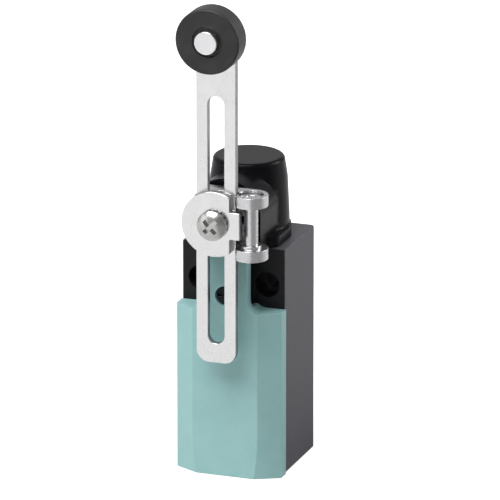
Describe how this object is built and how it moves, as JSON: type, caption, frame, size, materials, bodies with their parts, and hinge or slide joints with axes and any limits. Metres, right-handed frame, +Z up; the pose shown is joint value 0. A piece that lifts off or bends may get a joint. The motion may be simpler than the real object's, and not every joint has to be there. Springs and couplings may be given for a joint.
{
  "type": "limit switch",
  "caption": "Slim limit switch with a turning head and a slotted, length-adjustable roller lever that swings both ways from upright.",
  "frame": {"origin": "centre of the two fixing holes, on the rear mounting face", "axes": "+Z up along the body and the lever, +Y the rear face's outward normal, +X across to the right seen from the cover"},
  "size_m": [0.0318, 0.0493, 0.1427],
  "materials": {
    "housing_plastic": "dark grey glass-filled polyamide, fine matt grain",
    "cover_plastic": "pale turquoise polyamide, satin",
    "black_rubber": "matt black nitrile rubber",
    "dark_screw": "blackened steel",
    "sheet_steel": "bright stamped stainless steel",
    "zinc_steel": "zinc plated steel",
    "cast_metal": "bright tumbled die casting",
    "head_black": "black moulded plastic, satin-gloss",
    "insulator": "cream thermoset",
    "red_plastic": "red polyamide",
    "white_plastic": "natural acetal",
    "contact_copper": "copper alloy strip",
    "plated_brass": "nickel plated brass",
    "bush_bronze": "oil-soaked sintered bronze",
    "spring_steel": "stainless spring wire",
    "roller_plastic": "black acetal, satin, lightly scuffed"
  },
  "bodies": {
    "base": {"base_housing": "housing_plastic", "front_cover": "cover_plastic", "cover_gasket": "black_rubber", "cover_screw": "dark_screw", "head_lock_slide": "zinc_steel", "contact_block_body": "insulator", "contact_block_cover": "insulator", "contact_block_screws": "zinc_steel", "normally_closed_contacts": "contact_copper", "normally_open_contacts": "contact_copper", "terminal_screws": "zinc_steel", "terminal_clamps": "plated_brass", "contact_spring": "spring_steel", "head_return_spring": "spring_steel"},
    "plunger": {"contact_plunger": "red_plastic", "moving_contact_bridge": "contact_copper", "cam_follower": "white_plastic"},
    "head": {"head_housing": "head_black", "head_base": "head_black", "head_o_ring": "black_rubber", "shaft_bush": "bush_bronze", "shaft_seal": "black_rubber"},
    "shaft": {"drive_shaft": "zinc_steel", "shaft_circlip": "spring_steel", "cam": "zinc_steel", "cam_pin": "zinc_steel", "lever_bracket": "cast_metal", "bracket_clamp_screw": "zinc_steel", "clamp_plate": "sheet_steel", "lever_washer": "zinc_steel", "lever_screw": "zinc_steel"},
    "lever": {"lever_bar": "sheet_steel", "roller_pin": "sheet_steel", "roller_washer": "zinc_steel"},
    "roller": {"roller": "roller_plastic", "roller_bush": "bush_bronze"}
  },
  "joints": [
    {"name": "plunger_travel", "type": "slide", "parent": "base", "child": "plunger", "axis": [0, 0, -1], "range_m": [0, 0.0022], "stiffness_N_per_m": 900, "springref_m": -0.001, "deforming": ["head_return_spring", "contact_spring"]},
    {"name": "head_turn", "type": "hinge", "parent": "base", "child": "head", "pos_m": [0, -0.01293, 0.0108], "axis": [0, 0, 1], "range_deg": [-180, 180]},
    {"name": "lever_swing", "type": "hinge", "parent": "head", "child": "shaft", "pos_m": [0, -0.02586, 0.022], "axis": [0, 1, 0], "range_deg": [-75, 75], "stiffness_Nm_per_rad": 0.12},
    {"name": "lever_length", "type": "slide", "parent": "shaft", "child": "lever", "axis": [0, 0, 1], "range_m": [-0.034, 0.0335]},
    {"name": "roller_spin", "type": "hinge", "parent": "lever", "child": "roller", "pos_m": [0, -0.04456, 0.0769], "axis": [0, 1, 0], "continuous": true}
  ]
}
